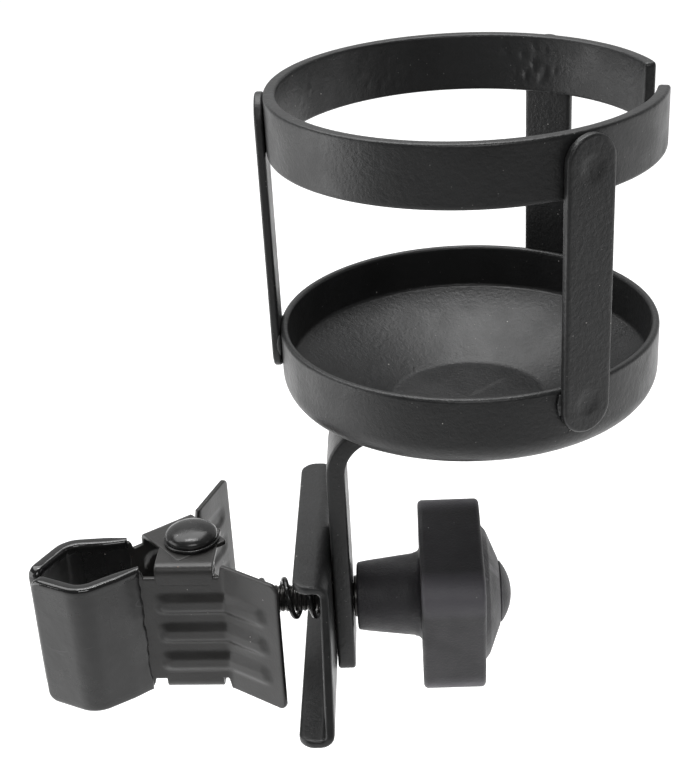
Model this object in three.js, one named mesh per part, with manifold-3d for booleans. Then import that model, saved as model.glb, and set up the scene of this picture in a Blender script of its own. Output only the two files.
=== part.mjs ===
// Clip-on cup holder: a split ring and a dished tray joined by three straps, carried by a bent flat bar.
// A bolt and a square knob draw the bar and a Z-shaped spreader plate towards a two-jaw spring clip,
// whose hexagonal dipped jaws hold a tube. Millimetres, +Z up, origin on the tray floor at the cup axis,
// +X along the clamp bolt towards the knob.
import * as THREE from 'three';
import { mergeVertices } from 'three/addons/utils/BufferGeometryUtils.js';
import Module from 'manifold-3d';

const wasm = await Module();
wasm.setup();

// ---- driving dimensions ----
const clearance = 0.3;

const cupRadius = 48.5;
const ringTop = 85;
const ringHeight = 15;
const ringThickness = 3;
const ringGapHalfAngle = THREE.MathUtils.degToRad(11.5);

const trayTop = 24;
const trayWallFoot = 8;
const traySheet = 2;
const trayFlatRadius = 20.5;
const trayFloorEdge = 12.2;

const strapWidth = 13;
const strapThickness = 2.2;
const strapBottom = 12.2;
const strapTop = 84.6;
const strapAngles = { strap_left: 180, strap_front: -60, strap_rear: 60 };

const armThickness = 5;
const armWidth = 20;
const armInnerBend = 10.5;
const armFace = -38.8;
const armFootBelowBolt = 18.5;
const armTongueEnd = 15;

const boltZ = -62.5;
const boltRadius = 3.9;
const boltHoleRadius = 4.5;
const boltEnd = -1;

const plateSheet = 2.5;
const plateHalfLength = 40.5;
const plateHalfHeight = 21;
const plateFlange = 10.1;
const plateCut = 26;
const plateBend = 3;

const knobFlat = 21;
const knobCrest = 26.5;
const knobTurn = THREE.MathUtils.degToRad(33);
const knobBack = -15.2;
const knobFront = 3.3;
const hubStart = -32.6;
const hubSmallRadius = 9.6;
const hubLargeRadius = 11.8;
const insertRadius = 5.85;
const insertEnd = -14;
const capStep = 7.7;
const capRadius = 8.6;
const capApex = 10.9;

const pivotX = -78;
const clipYaw = THREE.MathUtils.degToRad(18);
const jawLean = -20;
const clipSheet = 1.5;
const clipHalfHeight = 20.5;
const dippedHalfHeight = 19.4;
const clipNotchHalfHeight = 17;
const clipSideOffset = 12.9;
const earStart = -8.8;
const earEnd = 7.4;
const earReach = 6.6;
const earCorner = 1;
const innerEarTop = 18.9;
const outerEarTop = 20.7;
const wingTip = new THREE.Vector2(26, -23.3);
const heel = new THREE.Vector2(9.9, -clipSideOffset);
const waist = new THREE.Vector2(-12.9, -clipSideOffset);
const jawCorner = new THREE.Vector2(-27.3, -23.1);
const jawTip = new THREE.Vector2(-40.5, -17.1);
const dipThickness = 0.8;
const dipEnd = -13.2;
const ribPitch = 9.7;
const ribHeight = 0.8;
const ribHalfWidth = 3;

const rivetPin = 3.1;
const rivetHole = 3.4;
const rivetHeadRadius = 7.3;
const rivetHeadHeight = 3.3;
const washerRadius = 7.8;
const washerThickness = 0.8;
const eyeRadius = 7.5;
const eyeHalfHeight = 6;

const springRadius = 5.3;
const springWire = 1.7;
const springTurns = 5.5;
const torsionWire = 1.3;
const torsionRadius = 5;
const torsionTurns = 3.5;

const fineSegments = 80;
const roundSegments = 28;
const bendSegments = 5;

// ---- solids and booleans ----
function toSolid(geometry) {
  const bare = geometry.index ? geometry.toNonIndexed() : geometry.clone();
  bare.deleteAttribute('normal');
  bare.deleteAttribute('uv');
  const merged = mergeVertices(bare, 1e-4);
  return new wasm.Manifold(new wasm.Mesh({
    numProp: 3,
    vertProperties: new Float32Array(merged.attributes.position.array),
    triVerts: new Uint32Array(merged.index.array),
  }));
}

function toGeometry(solid) {
  const mesh = solid.getMesh();
  const geometry = new THREE.BufferGeometry();
  geometry.setAttribute('position', new THREE.BufferAttribute(mesh.vertProperties, 3));
  geometry.setIndex(new THREE.BufferAttribute(mesh.triVerts, 1));
  geometry.computeVertexNormals();
  return geometry;
}

function unite(solids) {
  return solids.reduce((sum, solid) => sum.add(solid));
}

// ---- basic shapes ----
function box(low, high) {
  const geometry = new THREE.BoxGeometry(high[0] - low[0], high[1] - low[1], high[2] - low[2]);
  geometry.translate((low[0] + high[0]) / 2, (low[1] + high[1]) / 2, (low[2] + high[2]) / 2);
  return toSolid(geometry);
}

function prism(shape, low, high, curveSegments = roundSegments) {
  const options = { depth: high - low, bevelEnabled: false, curveSegments };
  const geometry = new THREE.ExtrudeGeometry(shape, options);
  geometry.translate(0, 0, low);
  return geometry;
}

function rodAlongX(radius, low, high, segments = roundSegments) {
  const geometry = new THREE.CylinderGeometry(radius, radius, high - low, segments);
  geometry.rotateZ(Math.PI / 2);
  geometry.translate((low + high) / 2, 0, 0);
  return toSolid(geometry);
}

function rodAlongZ(radius, low, high, segments = roundSegments) {
  const geometry = new THREE.CylinderGeometry(radius, radius, high - low, segments);
  geometry.rotateX(Math.PI / 2);
  geometry.translate(0, 0, (low + high) / 2);
  return toSolid(geometry);
}

// A profile of [radius, height] points turned about Z.
function turned(points, segments = roundSegments) {
  const profile = points.map(([radius, height]) => new THREE.Vector2(radius, height));
  const geometry = new THREE.LatheGeometry(profile, segments);
  geometry.rotateX(Math.PI / 2);
  return geometry;
}

// The same profile turned about X, its heights running along +X.
function turnedAboutX(points, segments = roundSegments) {
  const geometry = turned(points, segments);
  geometry.rotateY(Math.PI / 2);
  return toSolid(geometry);
}

// Rounds the inner corners of a polyline; each corner becomes a short arc of the given radius.
function roundedPath(points, radii) {
  const path = [points[0]];
  for (let i = 1; i < points.length - 1; i += 1) {
    const toPrevious = points[i - 1].clone().sub(points[i]).normalize();
    const toNext = points[i + 1].clone().sub(points[i]).normalize();
    const halfAngle = Math.acos(toPrevious.dot(toNext)) / 2;
    const setback = radii[i - 1] / Math.tan(halfAngle);
    const start = points[i].clone().addScaledVector(toPrevious, setback);
    const end = points[i].clone().addScaledVector(toNext, setback);
    const inward = toPrevious.clone().add(toNext).normalize();
    const centre = points[i].clone().addScaledVector(inward, radii[i - 1] / Math.sin(halfAngle));
    const from = start.clone().sub(centre).angle();
    let sweep = end.clone().sub(centre).angle() - from;
    if (sweep > Math.PI) sweep -= 2 * Math.PI;
    if (sweep < -Math.PI) sweep += 2 * Math.PI;
    for (let k = 0; k <= bendSegments; k += 1) {
      const angle = from + (sweep * k) / bendSegments;
      path.push(new THREE.Vector2(Math.cos(angle), Math.sin(angle)).multiplyScalar(radii[i - 1]).add(centre));
    }
  }
  path.push(points[points.length - 1]);
  return path;
}

// A strip of sheet seen edge on: the path grown by half the thickness to each side.
function stripShape(path, halfThickness) {
  const sides = [1, -1].map((side) => path.map((point, i) => {
    const before = path[Math.max(i - 1, 0)];
    const after = path[Math.min(i + 1, path.length - 1)];
    const along = after.clone().sub(before).normalize();
    return new THREE.Vector2(-along.y, along.x).multiplyScalar(side * halfThickness).add(point);
  }));
  return new THREE.Shape([...sides[0], ...sides[1].reverse()]);
}

// ---- cup ring, tray and straps ----
function ringBand() {
  const shape = new THREE.Shape();
  shape.absarc(0, 0, cupRadius, ringGapHalfAngle, 2 * Math.PI - ringGapHalfAngle, false);
  shape.absarc(0, 0, cupRadius - ringThickness, 2 * Math.PI - ringGapHalfAngle, ringGapHalfAngle, true);
  return prism(shape, ringTop - ringHeight, ringTop, fineSegments);
}

function tray() {
  const inner = cupRadius - traySheet;
  return turned([
    [0, -traySheet],
    [trayFlatRadius, -traySheet],
    [cupRadius - 2.5, trayWallFoot - 0.8],
    [cupRadius - 0.7, trayWallFoot + 0.9],
    [cupRadius, trayWallFoot + 3],
    [cupRadius, trayTop - 0.5],
    [cupRadius - 0.5, trayTop],
    [inner + 0.5, trayTop],
    [inner, trayTop - 0.5],
    [inner, trayFloorEdge + 1.4],
    [inner - 1.2, trayFloorEdge],
    [trayFlatRadius, 0],
    [0, 0],
  ], fineSegments);
}

function strap(angleDegrees) {
  const half = strapWidth / 2;
  const outline = new THREE.Shape();
  outline.absarc(0, strapTop - half, half, 0, Math.PI, false);
  outline.absarc(0, strapBottom + half, half, Math.PI, 2 * Math.PI, false);
  const geometry = prism(outline, 0, strapThickness, 12);
  geometry.rotateX(Math.PI / 2);
  geometry.rotateZ(Math.PI / 2);
  geometry.translate(cupRadius + clearance, 0, 0);
  geometry.rotateZ(THREE.MathUtils.degToRad(angleDegrees));
  return geometry;
}

// ---- bent bar under the tray ----
function armBar() {
  const outerFace = armFace + armThickness / 2;
  const tongue = -traySheet - clearance - armThickness / 2;
  const path = roundedPath([
    new THREE.Vector2(armTongueEnd, tongue),
    new THREE.Vector2(outerFace, tongue),
    new THREE.Vector2(outerFace, boltZ - armFootBelowBolt),
  ], [armInnerBend + armThickness / 2]);
  const geometry = prism(stripShape(path, armThickness / 2), -armWidth / 2, armWidth / 2);
  geometry.rotateX(Math.PI / 2);
  const hole = rodAlongX(boltHoleRadius, armFace - 1, armFace + armThickness + 1).translate([0, 0, boltZ]);
  return toGeometry(toSolid(geometry).subtract(hole));
}

// ---- spreader plate: one web and two opposed flanges, the same after half a turn about the bolt ----
function spreaderPlate() {
  const web = -clearance - plateSheet / 2;
  const middle = plateHalfHeight - plateSheet / 2;
  const channel = roundedPath([
    new THREE.Vector2(-plateFlange, middle),
    new THREE.Vector2(web, middle),
    new THREE.Vector2(web, -middle),
    new THREE.Vector2(-plateFlange, -middle),
  ], [plateBend, plateBend]);
  const section = prism(stripShape(channel, plateSheet / 2), -plateHalfLength, plateHalfLength);
  section.rotateX(Math.PI / 2);

  const endRadius = plateFlange / 2;
  const plan = new THREE.Shape();
  plan.absarc(-endRadius, plateHalfLength - endRadius, endRadius, 0, Math.PI, false);
  plan.absarc(-endRadius, -plateHalfLength + endRadius, endRadius, Math.PI, 2 * Math.PI, false);
  const rounded = toSolid(prism(plan, -plateHalfHeight - 1, plateHalfHeight + 1, 12));

  const slope = plateHalfLength - plateCut;
  const side = new THREE.Shape([
    new THREE.Vector2(-plateHalfLength - 1, -plateHalfHeight - 1),
    new THREE.Vector2(plateCut, -plateHalfHeight - 1),
    new THREE.Vector2(plateCut, -plateHalfHeight + 2 * plateSheet),
    new THREE.Vector2(plateCut + slope * 0.8, plateHalfHeight - 2 * plateSheet),
    new THREE.Vector2(plateHalfLength + 1, plateHalfHeight - 1.5 * plateSheet),
    new THREE.Vector2(plateHalfLength + 1, plateHalfHeight + 1),
    new THREE.Vector2(-plateCut, plateHalfHeight + 1),
    new THREE.Vector2(-plateCut, plateHalfHeight - 2 * plateSheet),
    new THREE.Vector2(-plateCut - slope * 0.8, -plateHalfHeight + 2 * plateSheet),
    new THREE.Vector2(-plateHalfLength - 1, -plateHalfHeight + 1.5 * plateSheet),
  ]);
  const sideCut = prism(side, -plateFlange - 1, 1);
  sideCut.rotateX(Math.PI / 2);
  sideCut.rotateZ(Math.PI / 2);

  const hole = rodAlongX(boltHoleRadius, -plateFlange, 1);
  return toGeometry(toSolid(section).intersect(rounded).intersect(toSolid(sideCut)).subtract(hole));
}

// ---- eye bolt and compression spring ----
function eyeBolt() {
  const shank = rodAlongX(boltRadius, eyeRadius - 1.5, boltEnd - pivotX, 20);
  const eye = rodAlongZ(eyeRadius, -eyeHalfHeight, eyeHalfHeight);
  const bore = rodAlongZ(rivetHole, -eyeHalfHeight - 1, eyeHalfHeight + 1);
  return toGeometry(eye.add(shank).subtract(bore));
}

class CoilPath extends THREE.Curve {
  constructor(radius, length, turns) {
    super();
    this.radius = radius;
    this.length = length;
    this.turns = turns;
  }

  getPoint(t) {
    const angle = 2 * Math.PI * this.turns * t;
    return new THREE.Vector3(this.length * t, this.radius * Math.cos(angle), this.radius * Math.sin(angle));
  }

  getLength() {
    return Math.hypot(this.length, 2 * Math.PI * this.radius * this.turns);
  }

  getPointAt(t) {
    return this.getPoint(t);
  }
}

function wire(path, wireDiameter, steps) {
  const section = new THREE.Shape();
  section.absarc(0, 0, wireDiameter / 2, 0, 2 * Math.PI, false);
  const options = { steps, curveSegments: 6, extrudePath: path, bevelEnabled: false };
  return new THREE.ExtrudeGeometry(section, options);
}

function coilSpring() {
  const start = pivotX + eyeRadius + clearance + springWire / 2;
  const end = armFace - clearance - plateSheet - clearance - springWire / 2;
  const geometry = wire(new CoilPath(springRadius, end - start, springTurns), springWire, 84);
  geometry.translate(start, 0, 0);
  return geometry;
}

function torsionSpring() {
  const rise = eyeHalfHeight + clearance + torsionWire / 2;
  const coil = new CoilPath(torsionRadius, (torsionTurns * torsionWire) * 1.2, torsionTurns);
  const geometry = wire(coil, torsionWire, 56);
  geometry.rotateY(-Math.PI / 2);
  geometry.translate(0, 0, rise);
  return geometry;
}

// ---- knob ----
// A square with generously rounded corners, its corners on the axes.
function gripOutline() {
  const cornerRadius = (knobFlat * Math.SQRT2 - knobCrest) / (Math.SQRT2 - 1);
  const centre = (knobFlat - cornerRadius) * Math.SQRT2;
  const shape = new THREE.Shape();
  for (let corner = 0; corner < 4; corner += 1) {
    const facing = (corner * Math.PI) / 2;
    const [x, y] = [centre * Math.cos(facing), centre * Math.sin(facing)];
    shape.absarc(x, y, cornerRadius, facing - Math.PI / 4, facing + Math.PI / 4, false);
  }
  return shape;
}

function knobBody() {
  const bevel = 1.2;
  const options = {
    depth: knobFront - knobBack - 2 * bevel,
    bevelEnabled: true,
    bevelThickness: bevel,
    bevelSize: bevel,
    bevelOffset: -bevel,
    bevelSegments: 2,
    curveSegments: 12,
  };
  const grip = new THREE.ExtrudeGeometry(gripOutline(), options);
  grip.rotateZ(knobTurn);
  grip.translate(0, 0, knobBack + bevel);
  grip.rotateY(Math.PI / 2);
  const hub = turnedAboutX([
    [0, hubStart],
    [hubSmallRadius - 0.8, hubStart],
    [hubSmallRadius, hubStart + 0.8],
    [hubLargeRadius, knobBack + 1],
    [0, knobBack + 1],
  ]);
  const cone = turnedAboutX([
    [0, knobFront - 1],
    [19, knobFront - 1],
    [19, knobFront],
    [14, knobFront + 2.2],
    [capRadius + 0.6, capStep - 0.3],
    [0, capStep - 0.3],
  ]);
  const insertBore = rodAlongX(insertRadius + clearance, hubStart - 1, insertEnd + clearance);
  const boltWell = rodAlongX(boltHoleRadius, insertEnd, knobFront);
  const capWell = rodAlongX(capRadius - 3, knobFront + 1.2, capStep + 1);
  return toGeometry(unite([toSolid(grip), hub, cone]).subtract(unite([insertBore, boltWell, capWell])));
}

function knobCap() {
  const stub = capRadius - 3 - clearance;
  return toGeometry(turnedAboutX([
    [0, knobFront + 1.5],
    [stub, knobFront + 1.5],
    [stub, capStep],
    [capRadius, capStep],
    [capRadius * 0.86, capStep + (capApex - capStep) * 0.45],
    [capRadius * 0.5, capStep + (capApex - capStep) * 0.85],
    [0, capApex],
  ]));
}

function knobInsert() {
  const start = armFace + armThickness + clearance;
  const body = rodAlongX(insertRadius, start, insertEnd);
  return toGeometry(body.subtract(rodAlongX(boltRadius + clearance, start - 1, insertEnd + 1)));
}

// ---- spring clip: each half is drawn with its side along X, then leans in to meet its mirror ----
function jawPath() {
  return roundedPath([
    jawTip,
    jawCorner,
    waist,
    heel,
    wingTip,
  ], [5.5, 3, 4]);
}

function ribs() {
  const outside = -clipSideOffset - clipSheet / 2;
  return [-1, 0, 1].map((row) => box(
    [earStart + 1, outside - ribHeight, row * ribPitch - ribHalfWidth],
    [earEnd - 1, outside + 0.4, row * ribPitch + ribHalfWidth],
  ));
}

function jaw(earTop) {
  const sheet = toSolid(prism(stripShape(jawPath(), clipSheet / 2), -clipHalfHeight, clipHalfHeight));
  const outside = -clipSideOffset - clipSheet / 2;
  const notches = [];
  const ears = [];
  for (const side of [-1, 1]) {
    const beyond = clipHalfHeight + 1;
    const [low, high] = side < 0 ? [-beyond, -clipNotchHalfHeight] : [clipNotchHalfHeight, beyond];
    notches.push(box([waist.x + 0.5, outside - 2, low], [earEnd + 1.8, outside + 2, high]));
    const dippedEdge = side < 0 ? [low, -dippedHalfHeight] : [dippedHalfHeight, high];
    notches.push(box([jawTip.x - 5, jawCorner.y - 5, dippedEdge[0]], [waist.x + 0.5, 0, dippedEdge[1]]));
    const outline = new THREE.Shape();
    outline.moveTo(earStart, outside);
    outline.lineTo(earEnd, outside);
    outline.absarc(earEnd - earCorner, earReach - earCorner, earCorner, 0, Math.PI / 2, false);
    outline.absarc(earStart + earCorner, earReach - earCorner, earCorner, Math.PI / 2, Math.PI, false);
    const [earLow, earHigh] = side < 0 ? [-earTop, clipSheet - earTop] : [earTop - clipSheet, earTop];
    const flat = toSolid(prism(outline, earLow, earHigh, 10));
    const wallFoot = clipNotchHalfHeight - 0.5;
    const [wallLow, wallHigh] = side < 0 ? [-earTop, -wallFoot] : [wallFoot, earTop];
    const wall = box([earStart, outside, wallLow], [earEnd, outside + clipSheet, wallHigh]);
    ears.push(flat, wall);
  }
  const pinHole = rodAlongZ(rivetHole, -clipHalfHeight - 1, clipHalfHeight + 1);
  const stamped = sheet.subtract(unite(notches)).add(unite([...ears, ...ribs()])).subtract(pinHole);
  return stamped.rotate([0, 0, jawLean]);
}

// A sock over the jaw: closed over the tip and the two long edges, open at the waist.
function dip() {
  const path = jawPath();
  const inward = path[0].clone().sub(path[1]).normalize();
  const tip = path[0].clone().addScaledVector(inward, clearance + dipThickness);
  const sock = [tip, ...path.slice(1).filter((point) => point.x < dipEnd)];
  const grown = clipSheet / 2 + clearance + dipThickness;
  const outer = toSolid(prism(stripShape(sock, grown), -clipHalfHeight, clipHalfHeight));
  const hollow = [path[0].clone().addScaledVector(inward, clearance), ...path.slice(1)];
  const hollowHalf = dippedHalfHeight + clearance;
  const inside = toSolid(prism(stripShape(hollow, clipSheet / 2 + clearance), -hollowHalf, hollowHalf));
  return outer.subtract(inside).rotate([0, 0, jawLean]);
}

function rivet() {
  const under = outerEarTop + clearance + washerThickness + clearance;
  const head = [
    [rivetHeadRadius, 0],
    [rivetHeadRadius, 0.5],
    [rivetHeadRadius * 0.85, rivetHeadHeight * 0.6],
    [rivetHeadRadius * 0.5, rivetHeadHeight * 0.92],
    [0, rivetHeadHeight],
  ];
  const upper = head.map(([radius, height]) => [radius, under + height]);
  const lower = head.map(([radius, height]) => [radius, -under - height]).reverse();
  return turned([...lower, [rivetPin, -under], [rivetPin, under], ...upper]);
}

function washer(side) {
  const low = outerEarTop + clearance;
  const disc = rodAlongZ(washerRadius, low, low + washerThickness);
  const ring = disc.subtract(rodAlongZ(rivetHole, low - 1, low + washerThickness + 1));
  return toGeometry(side > 0 ? ring : ring.mirror([0, 0, 1]));
}

// ---- assembly ----
const finishes = {
  powderCoat: { color: 0x1b1b1c, roughness: 0.48, metalness: 0.1 },
  dippedVinyl: { color: 0x0c0c0d, roughness: 0.16, metalness: 0 },
  mouldedPlastic: { color: 0x222223, roughness: 0.6, metalness: 0 },
  blackSteel: { color: 0x18181a, roughness: 0.3, metalness: 0.6 },
  darkZinc: { color: 0x3a3a3d, roughness: 0.35, metalness: 0.8 },
};

function addMesh(group, name, geometry, finish) {
  const mesh = new THREE.Mesh(geometry, new THREE.MeshStandardMaterial(finishes[finish]));
  mesh.name = name;
  group.add(mesh);
  return mesh;
}

function cup() {
  const group = new THREE.Group();
  addMesh(group, 'ring_band', ringBand(), 'powderCoat');
  addMesh(group, 'tray', tray(), 'powderCoat');
  for (const [name, angle] of Object.entries(strapAngles)) addMesh(group, name, strap(angle), 'powderCoat');
  addMesh(group, 'arm_bar', armBar(), 'powderCoat');
  return group;
}

function clamp() {
  const group = new THREE.Group();
  group.position.z = boltZ;
  addMesh(group, 'spreader_plate', spreaderPlate(), 'powderCoat').position.x = armFace;
  addMesh(group, 'eye_bolt', eyeBolt(), 'darkZinc').position.x = pivotX;
  addMesh(group, 'coil_spring', coilSpring(), 'blackSteel');
  addMesh(group, 'knob_body', knobBody(), 'mouldedPlastic');
  addMesh(group, 'knob_cap', knobCap(), 'mouldedPlastic');
  addMesh(group, 'knob_insert', knobInsert(), 'darkZinc');
  return group;
}

function clip() {
  const group = new THREE.Group();
  group.position.set(pivotX, 0, boltZ);
  group.rotation.z = clipYaw;
  addMesh(group, 'jaw_near', toGeometry(jaw(innerEarTop)), 'powderCoat');
  addMesh(group, 'jaw_far', toGeometry(jaw(outerEarTop).mirror([0, 1, 0])), 'powderCoat');
  addMesh(group, 'dip_near', toGeometry(dip()), 'dippedVinyl');
  addMesh(group, 'dip_far', toGeometry(dip().mirror([0, 1, 0])), 'dippedVinyl');
  addMesh(group, 'rivet', rivet(), 'blackSteel');
  addMesh(group, 'rivet_washer_top', washer(1), 'blackSteel');
  addMesh(group, 'rivet_washer_bottom', washer(-1), 'blackSteel');
  addMesh(group, 'torsion_spring', torsionSpring(), 'darkZinc');
  return group;
}

const cupHolder = new THREE.Group();
cupHolder.add(cup(), clamp(), clip());

export default cupHolder;
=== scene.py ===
"""Clip-on cup holder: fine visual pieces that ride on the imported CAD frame. Lengths are in metres."""
import math

import bmesh
import bpy
import numpy as np
from mathutils import Matrix, Vector


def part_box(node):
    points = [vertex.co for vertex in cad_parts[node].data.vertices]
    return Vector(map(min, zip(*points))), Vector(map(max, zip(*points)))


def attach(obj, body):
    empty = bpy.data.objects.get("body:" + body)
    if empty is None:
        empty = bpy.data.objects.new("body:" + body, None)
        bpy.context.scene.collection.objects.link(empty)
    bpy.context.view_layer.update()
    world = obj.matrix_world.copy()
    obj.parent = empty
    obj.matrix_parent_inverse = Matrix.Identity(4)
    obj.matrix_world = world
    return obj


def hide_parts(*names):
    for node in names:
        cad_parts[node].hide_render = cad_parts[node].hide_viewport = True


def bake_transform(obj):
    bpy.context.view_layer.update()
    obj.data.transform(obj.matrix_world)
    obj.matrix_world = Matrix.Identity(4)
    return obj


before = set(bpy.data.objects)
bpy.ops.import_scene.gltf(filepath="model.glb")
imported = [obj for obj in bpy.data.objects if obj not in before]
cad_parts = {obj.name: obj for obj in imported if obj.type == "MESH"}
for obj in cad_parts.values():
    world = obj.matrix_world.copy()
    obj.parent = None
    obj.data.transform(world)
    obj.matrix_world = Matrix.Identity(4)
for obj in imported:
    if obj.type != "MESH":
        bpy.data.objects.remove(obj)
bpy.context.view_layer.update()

MM = 0.001
TAU = 2 * math.pi


# ---- places, from the frame ----
def middle(node):
    low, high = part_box(node)
    return (low + high) / 2


RING_LOW, RING_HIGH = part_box("ring_band")
TRAY_LOW, TRAY_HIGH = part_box("tray")
ARM_LOW, ARM_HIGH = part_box("arm_bar")
PLATE_LOW, PLATE_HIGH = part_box("spreader_plate")
KNOB_LOW, KNOB_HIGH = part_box("knob_body")
INSERT_LOW, INSERT_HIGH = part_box("knob_insert")
CAP_LOW, CAP_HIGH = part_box("knob_cap")
COIL_LOW, COIL_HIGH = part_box("coil_spring")
CUP_RADIUS = RING_HIGH.y
BOLT_Z = middle("knob_cap").z
PIVOT = Vector((middle("rivet").x, middle("rivet").y, BOLT_Z))
CLIP_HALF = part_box("dip_near")[1].z - BOLT_Z
CLIP_YAW = math.radians(18)


# ---- sizes ----
# a turned profile starts this far from its axis
NEAR_AXIS = 0.01 * MM

# ring and straps
RING_SHEET = 3 * MM
RING_GAP = math.radians(11.5)
STRAP_HALF = 6.5 * MM
STRAP_SHEET = 2.2 * MM
# degrees round the cup, from +X
STRAP_ANGLES = {"strap_left": 180, "strap_front": -60, "strap_rear": 60}
# the spot weld near each end of a strap leaves a shallow dimple
WELD_FROM_END = 7.6 * MM
WELD_RADIUS = 2.8 * MM
# patches of spatter inside the ring: centre and spread in degrees, count, height of the largest
SPATTER = [(64, 6, 34, 0.20 * MM), (118, 9, 14, 0.12 * MM), (150, 5, 10, 0.14 * MM)]

# bent bar
ARM_SHEET = 5 * MM
ARM_BEND = 10.5 * MM
HOLE_RADIUS = 4.5 * MM

# spreader plate
PLATE_SHEET = 2.5 * MM
PLATE_BEND = 2.6 * MM
PLATE_CUT = 26 * MM

# bolt
THREAD_PITCH = 1.25 * MM
THREAD_DEPTH = 0.45 * MM
BOLT_RADIUS = 3.9 * MM

# knob
# half the width of the square, and the reach of its corners
KNOB_FLAT = 21 * MM
KNOB_CREST = 26.5 * MM
KNOB_TURN = math.radians(33)
KNOB_BACK = -14.7 * MM
KNOB_FACE = 2.7 * MM
HUB_SMALL = 9.6 * MM
HUB_LARGE = 11.8 * MM

# spring clip, as points and distances along and across the side of one half
CLIP_SHEET = 1.5 * MM
JAW_LEAN = math.radians(-20)
SIDE = 12.9 * MM
JAW_TIP = (-40.5 * MM, -17.1 * MM)
JAW_CORNER = (-27.3 * MM, -23.1 * MM)
WAIST = (-12.9 * MM, -SIDE)
HEEL = (9.9 * MM, -SIDE)
WING_TIP = (26.0 * MM, -23.3 * MM)
EAR_FROM, EAR_TO = -8.8 * MM, 7.4 * MM
EAR_REACH = 6.6 * MM
EAR_ROOT = 14.2 * MM
EAR_NOTCH_HALF = 15.2 * MM
NOTCH_HALF = 17 * MM
DIPPED_HALF = 19.4 * MM
RIB_PITCH = 9.7 * MM
RIB_SHIFT = 1.0 * MM
RIB_HALF = 3.1 * MM
RIB_HEIGHT = 0.95 * MM
VINYL = 1.1 * MM
DIP_END = -13.0 * MM


# ---- mesh building ----
def solid(name, verts, faces, sharp=40):
    """A shaded mesh object from points and faces, with its seams welded and its faces turned outwards."""
    mesh = bpy.data.meshes.new(name)
    mesh.from_pydata([tuple(v) for v in verts], [], faces)
    work = bmesh.new()
    work.from_mesh(mesh)
    bmesh.ops.remove_doubles(work, verts=work.verts, dist=2e-6)
    bmesh.ops.dissolve_degenerate(work, edges=work.edges, dist=1e-7)
    bmesh.ops.recalc_face_normals(work, faces=work.faces)
    work.to_mesh(mesh)
    work.free()
    mesh.shade_smooth()
    mesh.set_sharp_from_angle(angle=math.radians(sharp))
    piece = bpy.data.objects.new(name, mesh)
    bpy.context.scene.collection.objects.link(piece)
    return piece


def grid_faces(rows, columns, offset=0, flip=False):
    faces = []
    for i in range(rows - 1):
        for j in range(columns - 1):
            a = offset + i * columns + j
            quad = (a, a + 1, a + columns + 1, a + columns)
            faces.append(quad[::-1] if flip else quad)
    return faces


def tube_faces(rows, columns):
    """Quads between closed rings of points, with the first and last rings filled."""
    faces = []
    for i in range(rows - 1):
        for j in range(columns):
            k = (j + 1) % columns
            faces.append((i * columns + j, i * columns + k, (i + 1) * columns + k, (i + 1) * columns + j))
    faces.append(tuple(range(columns))[::-1])
    faces.append(tuple(range((rows - 1) * columns, rows * columns)))
    return faces


def rounded(points, radii, steps=8):
    """A polyline of 2-D points with each inner corner turned into an arc; a radius of 0 leaves it sharp."""
    pts = [np.array(p, float) for p in points]
    path = [pts[0]]
    for i in range(1, len(pts) - 1):
        radius = radii[i - 1]
        if radius <= 0:
            path.append(pts[i])
            continue
        back = (pts[i - 1] - pts[i]) / np.linalg.norm(pts[i - 1] - pts[i])
        ahead = (pts[i + 1] - pts[i]) / np.linalg.norm(pts[i + 1] - pts[i])
        half = math.acos(np.clip(back @ ahead, -1, 1)) / 2
        start = pts[i] + back * radius / math.tan(half)
        end = pts[i] + ahead * radius / math.tan(half)
        inward = (back + ahead) / np.linalg.norm(back + ahead)
        centre = pts[i] + inward * radius / math.sin(half)
        a = math.atan2(*(start - centre)[::-1])
        sweep = (math.atan2(*(end - centre)[::-1]) - a + math.pi) % TAU - math.pi
        for k in range(steps + 1):
            angle = a + sweep * k / steps
            path.append(centre + radius * np.array((math.cos(angle), math.sin(angle))))
    path.append(pts[-1])
    return np.array(path)


class Route:
    """A 2-D path read by distance along it: its points and its left-hand normals."""

    def __init__(self, points, step=0.15 * MM):
        points = np.asarray(points, float)
        gaps = np.linalg.norm(np.diff(points, axis=0), axis=1)
        keep = np.r_[True, gaps > 1e-9]
        points = points[keep]
        run = np.r_[0, np.cumsum(np.linalg.norm(np.diff(points, axis=0), axis=1))]
        self.length = run[-1]
        self.s = np.linspace(0, self.length, int(self.length / step) + 2)
        self.p = np.stack([np.interp(self.s, run, points[:, k]) for k in (0, 1)], 1)
        tangent = np.gradient(self.p, self.s, axis=0)
        kernel = np.ones(5) / 5
        padded = np.pad(tangent, ((2, 2), (0, 0)), "edge")
        tangent = np.stack([np.convolve(padded[:, k], kernel, "valid") for k in (0, 1)], 1)
        tangent /= np.linalg.norm(tangent, axis=1)[:, None]
        self.n = np.stack([-tangent[:, 1], tangent[:, 0]], 1)

    def point(self, s):
        return np.stack([np.interp(s, self.s, self.p[:, k]) for k in (0, 1)], -1)

    def normal(self, s):
        return np.stack([np.interp(s, self.s, self.n[:, k]) for k in (0, 1)], -1)

    def at(self, axis, value, start=0.0):
        """The distance at which the path first crosses a coordinate value, after start."""
        side = self.p[:, axis] - value
        hits = np.where((side[:-1] * side[1:] <= 0) & (self.s[:-1] >= start))[0]
        return self.s[hits[0]]


def distance_inside(points, outline):
    """Distance from each point to a closed outline."""
    best = np.full(len(points), np.inf)
    for a, b in zip(outline, np.roll(outline, -1, axis=0)):
        edge = b - a
        size = edge @ edge
        if size < 1e-16:
            continue
        t = np.clip((points - a) @ edge / size, 0, 1)
        best = np.minimum(best, np.linalg.norm(points - a - t[:, None] * edge, axis=1))
    return best


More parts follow.
